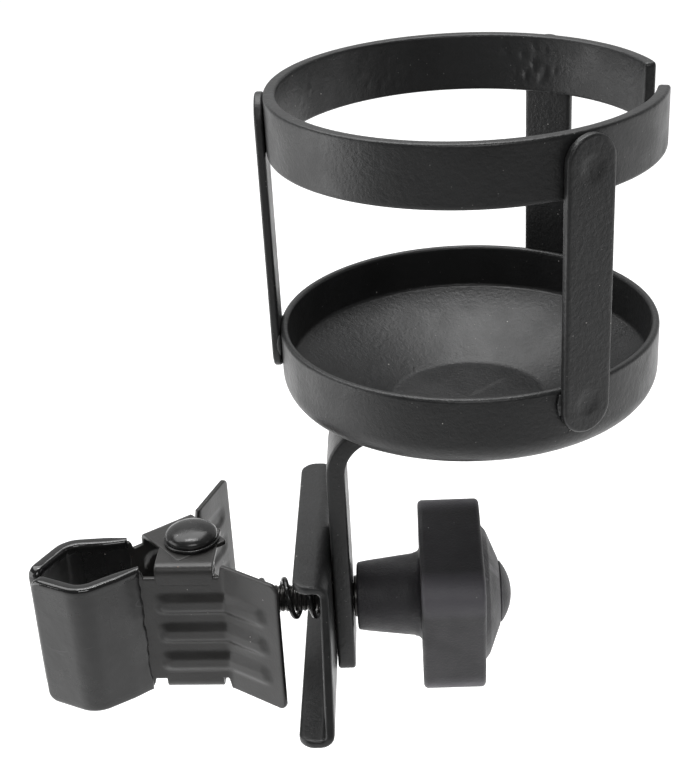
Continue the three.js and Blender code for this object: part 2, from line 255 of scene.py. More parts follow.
def stations(length, step, soft, extra=()):
    """Distances along a sheet: even steps, closer together where an edge is rounded."""
    close = soft * np.array((0, 0.06, 0.18, 0.36, 0.6, 1.0))
    inner = np.linspace(soft, length - soft, max(3, int((length - 2 * soft) / step)))
    s = np.concatenate([close, inner, length - close, *[np.asarray(e, float) for e in extra]])
    return np.unique(np.round(np.clip(s, 0, length), 7))


def corner_inset(from_end, radius):
    """How far a rounded corner pulls an edge in, at a distance from the end."""
    return radius - np.sqrt(np.maximum(radius ** 2 - (radius - np.minimum(from_end, radius)) ** 2, 0))


def sheet_piece(name, s, low, high, half, soft, place, columns=24, relief=None, sharp=40):
    """A sheet part: rows at distances s, each from low to high across, with rounded edges.
    place(s, w, t) puts a point that is t off the middle surface; relief(s, w, side) pushes a face along t."""
    low, high = np.broadcast_to(low, s.shape), np.broadcast_to(high, s.shape)
    edge = soft / max(np.median(high - low), 4 * soft)
    close = edge * np.array((0, 0.06, 0.18, 0.36, 0.6, 1.0))
    across = np.unique(np.concatenate([close, np.linspace(edge, 1 - edge, columns), 1 - close]))
    S = np.repeat(s[:, None], len(across), 1)
    W = low[:, None] + (high - low)[:, None] * across[None, :]
    outline = np.concatenate([np.stack([s, low], 1), np.stack([s, high], 1)[::-1]])
    gap = np.minimum(distance_inside(np.stack([S.ravel(), W.ravel()], 1), outline), soft).reshape(S.shape)
    thick = half - soft + np.sqrt(np.maximum(soft ** 2 - (soft - gap) ** 2, 0))
    faces_on = []
    for side in (1, -1):
        push = relief(S, W, side) if relief else 0.0
        faces_on.append(place(S, W, side * thick + push).reshape(-1, 3))
    count = S.size
    rows, cols = S.shape
    faces = grid_faces(rows, cols) + grid_faces(rows, cols, count, flip=True)
    border = [i * cols for i in range(rows)] + [(rows - 1) * cols + j for j in range(1, cols)]
    border += [i * cols + cols - 1 for i in range(rows - 2, -1, -1)] + list(range(cols - 2, 0, -1))
    for a, b in zip(border, border[1:] + border[:1]):
        faces.append((a, b, b + count, a + count))
    return solid(name, np.concatenate(faces_on), faces, sharp)


def turned(name, profile, axis, centre, segments=128, shape=None, sharp=40):
    """A profile of (radius, height) points turned about an axis.
    shape(angle, row, radius) can give a row another outline."""
    profile = np.asarray(profile, float)
    angle = np.linspace(0, TAU, segments, endpoint=False)
    verts = []
    for row, (radius, height) in enumerate(profile):
        r = np.full(segments, radius) if shape is None else shape(angle, row, radius)
        a, b = r * np.cos(angle), r * np.sin(angle)
        h = np.full(segments, height)
        columns = (a, b, h) if axis == "z" else (h, a, b)
        verts.append(np.stack(columns, 1) + np.array(centre))
    return solid(name, np.concatenate(verts), tube_faces(len(profile), segments), sharp)


def wire(name, centreline, radius, sides=14, sharp=60):
    """A round wire along a list of 3-D points, with slightly rounded ends."""
    path = np.asarray(centreline, float)
    tangent = np.gradient(path, axis=0)
    tangent /= np.linalg.norm(tangent, axis=1)[:, None]
    up = np.cross(tangent[0], (0.3, 0.5, 0.8))
    up /= np.linalg.norm(up)
    rings = []
    angle = np.linspace(0, TAU, sides, endpoint=False)
    end = (0.72, 0.94)
    for i, (p, t) in enumerate(zip(path, tangent)):
        up = up - t * (up @ t)
        up /= np.linalg.norm(up)
        other = np.cross(t, up)
        from_end = min(i, len(path) - 1 - i)
        r = radius * (end[from_end] if from_end < 2 else 1.0)
        rings.append(p + r * (np.cos(angle)[:, None] * up + np.sin(angle)[:, None] * other))
    return solid(name, np.concatenate(rings), tube_faces(len(path), sides), sharp)


def bore(piece, radius, start, end):
    """Cuts a round hole through a piece along X, from a start point to the x of its end."""
    cutter = turned("cutter", [(radius, start[0]), (radius, end)], "x", (0, start[1], start[2]), 64)
    cut = piece.modifiers.new("bore", "BOOLEAN")
    cut.operation = "DIFFERENCE"
    cut.solver = "EXACT"
    cut.object = cutter
    bpy.context.view_layer.update()
    mesh = bpy.data.meshes.new_from_object(piece.evaluated_get(bpy.context.evaluated_depsgraph_get()))
    piece.modifiers.clear()
    piece.data = mesh
    mesh.set_sharp_from_angle(angle=math.radians(35))
    bpy.data.objects.remove(cutter)


def smooth(edge0, edge1, x):
    t = np.clip((x - edge0) / (edge1 - edge0), 0, 1)
    return t * t * (3 - 2 * t)


# ---- materials ----
class Nodes:
    """Small helper around one material's node tree."""

    def __init__(self, name):
        self.material = bpy.data.materials.new(name)
        self.material.use_nodes = True
        self.tree = self.material.node_tree
        self.shader = self.tree.nodes["Principled BSDF"]
        self.coords = self.tree.nodes.new("ShaderNodeTexCoord").outputs["Object"]

    def add(self, kind, **values):
        node = self.tree.nodes.new(kind)
        for key, value in values.items():
            if key in node.inputs:
                node.inputs[key].default_value = value
            else:
                setattr(node, key, value)
        return node

    def link(self, source, target):
        self.tree.links.new(source, target)

    def noise(self, scale, detail=3.0, rough=0.55, stretch=None):
        node = self.add("ShaderNodeTexNoise", Scale=scale, Detail=detail, Roughness=rough)
        source = self.coords
        if stretch:
            mapping = self.add("ShaderNodeMapping", Scale=stretch)
            self.link(self.coords, mapping.inputs["Vector"])
            source = mapping.outputs["Vector"]
        self.link(source, node.inputs["Vector"])
        return node.outputs["Fac"]

    def ramp(self, value, low, high, to_low=0.0, to_high=1.0):
        node = self.add("ShaderNodeMapRange", clamp=True, interpolation_type="SMOOTHSTEP")
        for key, number in (("From Min", low), ("From Max", high), ("To Min", to_low), ("To Max", to_high)):
            node.inputs[key].default_value = number
        self.link(value, node.inputs["Value"])
        return node.outputs["Result"]

    def math(self, operation, a, b):
        node = self.add("ShaderNodeMath", operation=operation)
        for socket, value in zip(node.inputs, (a, b)):
            if isinstance(value, (int, float)):
                socket.default_value = value
            else:
                self.link(value, socket)
        return node.outputs["Value"]

    def mix(self, factor, a, b):
        node = self.add("ShaderNodeMix", data_type="RGBA")
        sockets = {s.name: s for s in node.inputs if s.enabled}
        for key, value in (("Factor", factor), ("A", a), ("B", b)):
            if isinstance(value, (tuple, float, int)):
                sockets[key].default_value = value
            else:
                self.link(value, sockets[key])
        return next(s for s in node.outputs if s.enabled)

    def offset(self, axis, origin=0.0):
        """Distance along one axis from an origin."""
        split = self.add("ShaderNodeSeparateXYZ")
        self.link(self.coords, split.inputs["Vector"])
        return self.math("SUBTRACT", split.outputs[axis], origin)

    def spots(self, scale, size, share):
        """A mask of small scattered dots: a share of the cells of a Voronoi pattern hold one."""
        node = self.add("ShaderNodeTexVoronoi", Scale=scale, Randomness=1.0)
        self.link(self.coords, node.inputs["Vector"])
        near = self.ramp(node.outputs["Distance"], size, size * 0.6)
        split = self.add("ShaderNodeSeparateColor")
        self.link(node.outputs["Color"], split.inputs["Color"])
        chosen = self.math("LESS_THAN", split.outputs["Red"], share)
        return self.math("MULTIPLY", near, chosen)

    def scratches(self, scale, width, stretch, cover):
        """A mask of thin curved lines: where a broad noise crosses its middle value, in a few patches."""
        line = self.math("ABSOLUTE", self.math("SUBTRACT", self.noise(scale, 1.0, 0.4, stretch), 0.5), 0.0)
        thin = self.ramp(line, width, width * 0.4)
        patch = self.ramp(self.noise(scale * 1.7, 1.0), 1 - cover, 1 - cover + 0.04)
        return self.math("MULTIPLY", thin, patch)

    def bump(self, layers):
        """Bump from several (height, distance) layers."""
        normal = None
        for height, distance in layers:
            node = self.add("ShaderNodeBump", Distance=distance, Strength=1.0)
            self.link(height, node.inputs["Height"])
            if normal:
                self.link(normal, node.inputs["Normal"])
            normal = node.outputs["Normal"]
        self.link(normal, self.shader.inputs["Normal"])

    # Paler colour where Pointiness is high: a painted highlight along the rounded edges.
    def edges(self, low, high, amount):
        geometry = self.add("ShaderNodeNewGeometry")
        return self.ramp(geometry.outputs["Pointiness"], low, high, 0.0, amount)

    def finish(self, colour, roughness):
        self.link(colour, self.shader.inputs["Base Color"])
        self.link(roughness, self.shader.inputs["Roughness"])
        return self.material


def grey(value, warm=0.0):
    """A grey, a little warmer or cooler where warm is above or below zero."""
    return (value * (1 + warm), value, value * (1 - warm), 1)


def violet(value):
    """A dark grey with a slight violet cast."""
    return (value, value * 0.96, value * 1.08, 1)


def powder_coat():
    """Black powder coat: a fine orange peel, pale specks and a painted highlight along its edges."""
    n = Nodes("powder_coat")
    colour = n.mix(n.ramp(n.noise(45.0, 4.0), 0.3, 0.7), grey(0.0105, -0.02), grey(0.0155, -0.02))
    # Painted highlight: pale grey along the sharp edges.
    colour = n.mix(n.edges(0.52, 0.60, 0.5), colour, grey(0.045))
    colour = n.mix(n.spots(330.0, 0.075, 0.16), colour, grey(0.34, 0.04))
    colour = n.mix(n.spots(900.0, 0.16, 0.10), colour, grey(0.10, 0.02))
    roughness = n.ramp(n.noise(120.0, 3.0), 0.3, 0.7, 0.35, 0.46)
    n.bump([(n.noise(800.0, 2.0), 1.1e-4), (n.noise(2000.0, 2.0), 4.5e-5), (n.noise(60.0, 2.0), 8.0e-5)])
    n.shader.inputs["Specular IOR Level"].default_value = 0.46
    return n.finish(colour, roughness)


def clip_paint():
    """The thinner, smoother black on the pressed clip, with brown specks and a painted highlight along its
    edges.
    """
    n = Nodes("clip_paint")
    colour = n.mix(n.ramp(n.noise(50.0, 4.0), 0.3, 0.7), grey(0.0185, 0.03), grey(0.0270, 0.03))
    # Painted highlight: pale grey along the sharp edges.
    colour = n.mix(n.edges(0.52, 0.60, 0.5), colour, grey(0.055, 0.03))
    colour = n.mix(n.spots(420.0, 0.08, 0.14), colour, grey(0.30, 0.05))
    colour = n.mix(n.spots(260.0, 0.05, 0.10), colour, (0.24, 0.13, 0.07, 1))
    roughness = n.ramp(n.noise(110.0, 3.0), 0.3, 0.7, 0.30, 0.40)
    n.bump([(n.noise(1400.0, 2.0), 5.0e-5), (n.noise(90.0, 2.0), 1.2e-4)])
    return n.finish(colour, roughness)


def dipped_vinyl():
    """Black vinyl dip: satin and scratched on its faces, glossy round its rims."""
    n = Nodes("dipped_vinyl")
    colour = n.mix(n.ramp(n.noise(60.0, 3.0), 0.3, 0.7), grey(0.0125), grey(0.0175))
    long_marks = n.scratches(38.0, 0.004, (1.0, 1.0, 2.4), 0.40)
    short_marks = n.scratches(95.0, 0.007, (2.5, 2.5, 1.0), 0.30)
    marks = n.math("MAXIMUM", long_marks, short_marks)
    colour = n.mix(n.spots(300.0, 0.07, 0.16), colour, grey(0.34, 0.04))
    colour = n.mix(n.math("MULTIPLY", marks, 0.35), colour, grey(0.16))
    rub = n.ramp(n.noise(90.0, 3.0), 0.35, 0.65, 0.26, 0.36)
    rim = n.ramp(n.math("ABSOLUTE", n.offset("Z", BOLT_Z), 0.0), 17.4 * MM, 19.2 * MM, 1.0, 0.28)
    roughness = n.math("MULTIPLY", n.math("ADD", rub, n.math("MULTIPLY", marks, 0.3)), rim)
    n.bump([(n.noise(110.0, 2.0), 2.2e-4), (n.noise(700.0, 2.0), 4.0e-5)])
    n.shader.inputs["Specular IOR Level"].default_value = 0.6
    return n.finish(colour, roughness)


def moulded_plastic():
    """Fine-grained black plastic, with a painted highlight along its edges and on the knob's crests."""
    n = Nodes("moulded_plastic")
    colour = n.mix(n.ramp(n.noise(70.0, 4.0), 0.3, 0.7), violet(0.024), violet(0.032))
    # Painted highlight: paler violet along the sharp edges.
    colour = n.mix(n.edges(0.52, 0.58, 0.6), colour, violet(0.085))
    across, up = (n.math("ABSOLUTE", n.offset(*axis), 0.0) for axis in (("Y", 0.0), ("Z", BOLT_Z)))
    squares = (n.math("POWER", side, 2.0) for side in (across, up))
    reach = n.math("SQRT", n.math("ADD", *squares), 0.0)
    # Painted highlight: paler on the knob's crests, set by distance from the bolt axis.
    colour = n.mix(n.ramp(reach, 23.6 * MM, 26.6 * MM, 0.0, 0.75), colour, violet(0.12))
    colour = n.mix(n.spots(420.0, 0.09, 0.12), colour, grey(0.24))
    roughness = n.ramp(n.noise(200.0, 3.0), 0.3, 0.7, 0.48, 0.60)
    n.bump([(n.noise(1300.0, 2.0), 1.3e-4), (n.noise(2600.0, 1.0), 5.0e-5)])
    return n.finish(colour, roughness)


def black_steel():
    n = Nodes("black_steel")
    colour = n.mix(n.ramp(n.noise(150.0, 3.0), 0.3, 0.7), grey(0.016), grey(0.030))
    marks = n.scratches(120.0, 0.01, (1.0, 3.0, 1.0), 0.4)
    colour = n.mix(n.math("MULTIPLY", marks, 0.5), colour, grey(0.20))
    roughness = n.ramp(n.noise(240.0, 3.0), 0.3, 0.7, 0.16, 0.28)
    n.bump([(n.noise(400.0, 3.0), 6.0e-5)])
    n.shader.inputs["Metallic"].default_value = 0.3
    return n.finish(colour, roughness)


def dark_zinc():
    n = Nodes("dark_zinc")
    colour = n.mix(n.ramp(n.noise(220.0, 4.0), 0.3, 0.7), grey(0.05, 0.03), grey(0.11, 0.03))
    roughness = n.ramp(n.noise(300.0, 3.0), 0.3, 0.7, 0.28, 0.42)
    n.bump([(n.noise(1200.0, 3.0), 3.0e-5)])
    n.shader.inputs["Metallic"].default_value = 0.85
    return n.finish(colour, roughness)


FINISH = {
    "powder_coat": powder_coat(),
    "clip_paint": clip_paint(),
    "dipped_vinyl": dipped_vinyl(),
    "moulded_plastic": moulded_plastic(),
    "black_steel": black_steel(),
    "dark_zinc": dark_zinc(),
}


def fit(piece, slot, body, *nodes, finish=None):
    """Gives a piece its material, named by its slot unless finish names another,
    ties it to its body and hides the CAD nodes it stands for."""
    piece.data.materials.clear()
    piece.data.materials.append(FINISH[finish or slot])
    if body:
        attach(piece, body)
    if nodes:
        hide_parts(*nodes)


# ---- ring, tray and straps ----
def ring_band():
    radius = CUP_RADIUS - RING_SHEET / 2
    length = (TAU - 2 * RING_GAP) * radius
    soft = 0.75 * MM
    s = stations(length, 1.6 * MM, soft)
    inset = corner_inset(np.minimum(s, length - s), 1.2 * MM)

    def place(S, W, T):
        angle = RING_GAP + S / radius
        wobble = 0.10 * MM * np.sin(3 * angle + 0.6)
        r = radius + T + wobble * (T < 0)
        return np.stack([r * np.cos(angle), r * np.sin(angle), W], -1)

    random = np.random.default_rng(11)
    spatter = []
    for centre, spread, count, size in SPATTER:
        for _ in range(count):
            at = (math.radians(random.normal(centre, spread)) - RING_GAP) * radius
            height = random.uniform(RING_LOW.z + 3 * MM, RING_HIGH.z - 2 * MM)
            wide = random.uniform(0.5, 1.2) * MM
            tall = wide * random.uniform(0.8, 2.2)
            depth = random.uniform(0.3, 1.0) * size
            spatter.append((at, height, wide, tall, depth))

    def relief(S, W, side):
        push = np.zeros_like(S)
        if side < 0:
            for at, height, wide, tall, depth in spatter:
                push -= depth * np.exp(-((S - at) / wide) ** 2 - ((W - height) / tall) ** 2)
        return push

    rows = np.unique(np.concatenate([s, np.arange(soft, length - soft, 0.45 * MM)]))
    inset = np.interp(rows, s, inset)
    low, high = RING_LOW.z + inset, RING_HIGH.z - inset
    piece = sheet_piece("ring", rows, low, high, RING_SHEET / 2, soft, place, 30, relief)
    fit(piece, "powder_coat", "cup", "ring_band")


def tray():
    outer, inner = CUP_RADIUS, CUP_RADIUS - 2 * MM
    low, top = TRAY_LOW.z, TRAY_HIGH.z
    sheet = -low
    flat = 20.5 * MM
    edge = 12.2 * MM
    foot = 6.9 * MM
    profile = rounded([
        (NEAR_AXIS, low),
        (flat, low),
        (outer, foot),
        (outer, top),
        (inner, top),
        (inner, edge),
        (flat, low + sheet),
        (NEAR_AXIS, low + sheet),
    ], [6 * MM, 7 * MM, 0.95 * MM, 0.95 * MM, 1.3 * MM, 4 * MM], 12)
    runs = [profile[0]]
    for point in profile[1:]:
        steps = max(1, int(np.linalg.norm(point - runs[-1]) / (3 * MM)))
        start = runs[-1]
        runs += [start + (point - start) * k / steps for k in range(1, steps + 1)]
    piece = turned("tray_dish", runs, "z", (0, 0, 0), 180, sharp=50)
    fit(piece, "powder_coat", "cup", "tray")


def strap(node, degrees):
    low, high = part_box(node)
    bottom, top = low.z, high.z
    soft = 0.7 * MM
    s = stations(top - bottom, 1.0 * MM, soft, [STRAP_HALF * (1 - np.cos(np.linspace(0, math.pi / 2, 16)))])
    s = np.unique(np.round(np.concatenate([s, (top - bottom) - s]), 7))
    from_end = np.minimum(np.minimum(s, top - bottom - s), STRAP_HALF)
    width = np.sqrt(np.maximum(STRAP_HALF ** 2 - (STRAP_HALF - from_end) ** 2, 0))
    turn = math.radians(degrees)
    radial, across = (math.cos(turn), math.sin(turn)), (-math.sin(turn), math.cos(turn))
    inner_face = CUP_RADIUS - 0.05 * MM
    welds = (WELD_FROM_END, top - bottom - WELD_FROM_END)

    def relief(S, W, side):
        push = np.zeros_like(S)
        if side > 0:
            for centre in welds:
                d = np.hypot(S - centre, W)
                push -= 0.26 * MM * np.exp(-(d / WELD_RADIUS) ** 5)
        return push

    def place(S, W, T):
        r = inner_face + STRAP_SHEET / 2 + T
        return np.stack([r * radial[0] + W * across[0], r * radial[1] + W * across[1], bottom + S], -1)

    piece = sheet_piece(node + "_bar", s, -width, width, STRAP_SHEET / 2, soft, place, 22, relief)
    fit(piece, "powder_coat", "cup", node)


# ---- bent bar ----
def arm_bar():
    face = ARM_LOW.x + ARM_SHEET / 2
    tongue = ARM_HIGH.z - ARM_SHEET / 2
    corners = [(ARM_HIGH.x, tongue), (face, tongue), (face, ARM_LOW.z)]
    route = Route(rounded(corners, [ARM_BEND + ARM_SHEET / 2], 40))
    half_width = ARM_HIGH.y
    soft = 0.9 * MM
    s = stations(route.length, 1.2 * MM, soft)
    inset = corner_inset(np.minimum(s, route.length - s), 1.6 * MM)

    def place(S, W, T):
        p, n = route.point(S), route.normal(S)
        return np.stack([p[..., 0] + n[..., 0] * T, W, p[..., 1] + n[..., 1] * T], -1)

    piece = sheet_piece("arm", s, -half_width + inset, half_width - inset, ARM_SHEET / 2, soft, place, 20)
    bore(piece, HOLE_RADIUS, (ARM_LOW.x - MM, 0, BOLT_Z), ARM_LOW.x + ARM_SHEET + MM)
    fit(piece, "powder_coat", "cup", "arm_bar")


def weld_bead(name, start, end, radius, seed):
    """A rippled fillet bead between two points."""
    random = np.random.default_rng(seed)
    start, end = np.array(start), np.array(end)
    length = np.linalg.norm(end - start)
    count = max(12, int(length / (0.35 * MM)))
    t = np.linspace(0, 1, count)
    path = start + (end - start) * t[:, None]
    path += np.cumsum(random.normal(0, 0.02 * MM, (count, 3)), axis=0)
    tangent = (end - start) / length
    up = np.cross(tangent, (0.1, 0.3, 0.9))
    up /= np.linalg.norm(up)
    other = np.cross(tangent, up)
    angle = np.linspace(0, TAU, 16, endpoint=False)
    taper = np.sqrt(np.clip(np.minimum(t, 1 - t) * count / 6, 0.02, 1))
    waves = np.sin(t * length / (1.3 * MM) * TAU)
    ripple = 1 + 0.09 * waves + random.normal(0, 0.02, count)
    rings = [
        p + radius * k * (np.cos(angle)[:, None] * up + np.sin(angle)[:, None] * other)
        for p, k in zip(path, taper * ripple)
    ]
    return solid(name, np.concatenate(rings), tube_faces(count, 16), 70)


def strap_welds():
    """Short beads up both edges of each strap, where it meets the tray wall."""
    for seed, (node, degrees) in enumerate(STRAP_ANGLES.items()):
        turn = math.radians(degrees)
        for side, name in ((-1, "a"), (1, "b")):
            r, across = CUP_RADIUS + 0.1 * MM, side * STRAP_HALF
            x = r * math.cos(turn) - across * math.sin(turn)
            y = r * math.sin(turn) + across * math.cos(turn)
            low, high = TRAY_HIGH.z - 6.5 * MM, TRAY_HIGH.z - 1.0 * MM
            ends = (x, y, low), (x, y, high)
            bead = weld_bead(f"{node}_weld_{name}", *ends, 0.75 * MM, 20 + 2 * seed + side)
            fit(bead, "powder_coat", "cup")


def tongue_welds():
    """Two long fillets where the bar's tongue meets the tray."""
    for side, name in ((-1, "front"), (1, "rear")):
        y = side * (ARM_HIGH.y + 0.3 * MM)
        z = TRAY_LOW.z - 0.5 * MM
        bead = weld_bead("tongue_weld_" + name, (-16 * MM, y, z), (12 * MM, y, z), 1.5 * MM, 7 + side)
        fit(bead, "powder_coat", "cup")


# ---- spreader plate ----
def spreader_plate():
    web = PLATE_HIGH.x - PLATE_SHEET / 2
    rim = PLATE_LOW.x
    middle_z = (PLATE_HIGH.z - PLATE_LOW.z) / 2 - PLATE_SHEET / 2
    half_length = PLATE_HIGH.y
    corners = [(rim, middle_z), (web, middle_z), (web, -middle_z), (rim, -middle_z)]
    route = Route(rounded(corners, [PLATE_BEND, PLATE_BEND], 14))
    flange = route.at(0, web - PLATE_BEND)
    soft = 0.85 * MM
    s = stations(route.length, 0.8 * MM, soft)
    slope_start, slope_end = flange + 3.2 * MM, route.length - flange - 3.2 * MM
    share = np.clip((s - slope_start) / (slope_end - slope_start), 0, 1)
    lean = smooth(slope_start, slope_end, s) * 0.25 + 0.75 * share
    low = -PLATE_CUT - (half_length - PLATE_CUT) * lean
    high = half_length - (half_length - PLATE_CUT) * lean
    inset = corner_inset(np.minimum(s, route.length - s), 4.4 * MM)

    def place(S, W, T):
        p, n = route.point(S), route.normal(S)
        return np.stack([p[..., 0] + n[..., 0] * T, W, BOLT_Z + p[..., 1] + n[..., 1] * T], -1)

    piece = sheet_piece("spreader", s, low + inset, high - inset, PLATE_SHEET / 2, soft, place, 60)
    bore(piece, HOLE_RADIUS, (PLATE_LOW.x + 2 * MM, 0, BOLT_Z), PLATE_HIGH.x + MM)
    fit(piece, "powder_coat", "plate", "spreader_plate")


# ---- bolt and springs ----
def eye_bolt():
    low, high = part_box("eye_bolt")
    eye = PIVOT.x - low.x
    half = (high.z - low.z) / 2
    corners = [(NEAR_AXIS, -half), (eye, -half), (eye, half), (NEAR_AXIS, half)]
    head = turned("bolt_eye", rounded(corners, [1.2 * MM, 1.2 * MM], 8), "z", PIVOT, 72)
    fit(head, "dark_zinc", "bolt", "eye_bolt")
    start, end = PIVOT.x + eye - 2 * MM, high.x
    thread_start = start + 9 * MM
    x = np.arange(start, end, THREAD_PITCH / 8)
    x = np.append(x, end)
    angle = np.linspace(0, TAU, 36, endpoint=False)
    phase = (x[:, None] / THREAD_PITCH + angle[None, :] / TAU) % 1
    ridge = np.abs(phase - 0.5) * 2
    run_in = smooth(thread_start, thread_start + THREAD_PITCH, x) * smooth(end, end - 1.2 * MM, x)
    chamfer = 0.5 * MM * smooth(end - 1.0 * MM, end, x)
    radius = BOLT_RADIUS - THREAD_DEPTH * ridge * run_in[:, None] - chamfer[:, None]
    verts = np.stack([
        np.repeat(x[:, None], len(angle), 1),
        PIVOT.y + radius * np.cos(angle),
        BOLT_Z + radius * np.sin(angle),
    ], -1).reshape(-1, 3)
    shank = solid("bolt_shank", verts, tube_faces(len(x), len(angle)), 50)
    fit(shank, "dark_zinc", "bolt")


def helix(radius, start, end, turns, closed, count):
    """Points of a coil about a local axis: (along, a, b), with the end turns closed up."""
    t = np.linspace(0, 1, count)
    turn = turns * t
    ends = closed / turns
    share = np.clip((t - ends * 0.5) / (1 - ends), 0, 1)
    climb = smooth(0, 1, share) * 0.25
    climb += 0.75 * share
    along = start + (end - start) * climb
    return np.stack([along, radius * np.cos(TAU * turn), radius * np.sin(TAU * turn)], 1)


def coil_spring():
    wire_radius = 0.85 * MM
    radius = COIL_HIGH.z - BOLT_Z - wire_radius
    start, end = COIL_LOW.x + wire_radius, COIL_HIGH.x - wire_radius
    path = helix(radius, start, end, 5.5, 0.9, 240) + np.array((0, 0, BOLT_Z))
    spring = wire("compression_spring", path, wire_radius)
    fit(spring, "black_steel", None, "coil_spring")
    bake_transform(spring)


# ---- knob ----
def rounded_square(angle, flat, crest):
    """Radius of a square with rounded corners: flat is half its width, crest the reach of a corner."""
    corner = (flat * math.sqrt(2) - crest) / (math.sqrt(2) - 1)
    off = np.abs((angle + math.pi / 4) % (math.pi / 2) - math.pi / 4)
    centre = (flat - corner) * math.sqrt(2)
    round_part = centre * np.cos(off) + np.sqrt(np.maximum(corner ** 2 - (centre * np.sin(off)) ** 2, 0))
    flat_part = flat / np.cos(math.pi / 4 - off)
    return np.where((math.pi / 4 - off) < math.atan2(flat - corner, flat), flat_part, round_part)


def knob():
    """Rows of (radius, x, share of the square outline), then the cap and the metal sleeve."""
    hub_edge, edge, fillet = 0.8 * MM, 1.3 * MM, 1.6 * MM
    arc = np.linspace(0, math.pi / 2, 7)
    rows = [(NEAR_AXIS, KNOB_LOW.x, 0.0)]
    start = HUB_SMALL - hub_edge
    rows += [(start + hub_edge * math.sin(a), KNOB_LOW.x + hub_edge * (1 - math.cos(a)), 0.0) for a in arc]
    slant = (HUB_LARGE - HUB_SMALL) / (KNOB_BACK - KNOB_LOW.x)
    for x in np.linspace(KNOB_LOW.x + 3 * MM, KNOB_BACK - 2 * MM, 6):
        rows.append((HUB_SMALL + slant * (x - KNOB_LOW.x), x, 0.0))
    rows += [
        (HUB_LARGE + fillet * (1 - math.cos(a)), KNOB_BACK - fillet * (1 - math.sin(a)), 0.0)
        for a in arc
    ]
    rim = KNOB_FLAT
    rows += [(rim - 5 * MM, KNOB_BACK, 0.3)]
    rows += [(rim - edge + edge * math.sin(a), KNOB_BACK + edge * (1 - math.cos(a)), 1.0) for a in arc]
    rows += [(rim, x, 1.0) for x in np.linspace(KNOB_BACK + 3 * MM, KNOB_FACE - 3 * MM, 6)]
    rows += [(rim - edge + edge * math.cos(a), KNOB_FACE - edge * (1 - math.sin(a)), 1.0) for a in arc]
    rows += [(19.4 * MM, KNOB_FACE, 0.0)]
    crown = rounded([
        (19.2 * MM, KNOB_FACE),
        (17.4 * MM, KNOB_FACE + 1.5 * MM),
        (9.4 * MM, KNOB_HIGH.x),
        (9.0 * MM, KNOB_HIGH.x),
        (8.7 * MM, KNOB_HIGH.x - 0.5 * MM),
        (NEAR_AXIS, KNOB_HIGH.x - 0.5 * MM),
    ], [3.5 * MM, 0.15 * MM, 0.1 * MM, 0], 7)
    rows += [(r, x, 0.0) for r, x in crown]
    squareness = [row[2] for row in rows]

    def shape(angle, row, radius):
        square = rounded_square(angle + KNOB_TURN, radius, radius + KNOB_CREST - KNOB_FLAT)
        return radius + squareness[row] * (square - radius)

    piece = turned("knob_grip", [(r, x) for r, x, _ in rows], "x", (0, 0, BOLT_Z), 240, shape, 32)
    fit(piece, "moulded_plastic", "knob", "knob_body")

    base, apex, cap_radius = CAP_HIGH.x - 3.0 * MM, CAP_HIGH.x, CAP_HIGH.y
    ball = (cap_radius ** 2 + (apex - base) ** 2) / (2 * (apex - base))
    sweep = np.linspace(math.asin(cap_radius / ball), 0, 14)
    dome = [(max(ball * math.sin(a), NEAR_AXIS), apex - ball + ball * math.cos(a)) for a in sweep]
    skirt = [
        (NEAR_AXIS, base - MM),
        (cap_radius - 0.3 * MM, base - MM),
        (cap_radius, base - 0.3 * MM),
    ]
    cap = turned("knob_end_cap", skirt + dome, "x", (0, 0, BOLT_Z), 120, sharp=40)
    fit(cap, "moulded_plastic", "knob", "knob_cap")

    insert = INSERT_HIGH.y
    ring = rounded([
        (BOLT_RADIUS + 0.3 * MM, INSERT_HIGH.x),
        (BOLT_RADIUS + 0.3 * MM, INSERT_LOW.x),
        (insert, INSERT_LOW.x),
        (insert, INSERT_HIGH.x),
        (BOLT_RADIUS + 0.3 * MM, INSERT_HIGH.x),
    ], [0.3 * MM, 0.4 * MM, 0.2 * MM], 5)
    sleeve = turned("knob_sleeve", ring, "x", (0, 0, BOLT_Z), 72)
    fit(sleeve, "dark_zinc", "knob", "knob_insert")


# ---- spring clip: each half is drawn on the near side and mirrored for the far side ----
def jaw_route():
    return Route(rounded([JAW_TIP, JAW_CORNER, WAIST, HEEL, WING_TIP], [6.5 * MM, 4.0 * MM, 4.0 * MM], 24))


def clip_point(u, v, z, far):
    """A point of one clip half: u runs along its side, v across it and z up from the bolt."""
    turn = CLIP_YAW - JAW_LEAN if far else CLIP_YAW + JAW_LEAN
    v = -v if far else v
    x = PIVOT.x + u * math.cos(turn) - v * math.sin(turn)
    y = PIVOT.y + u * math.sin(turn) + v * math.cos(turn)
    return np.stack([x, y, BOLT_Z + z], -1)


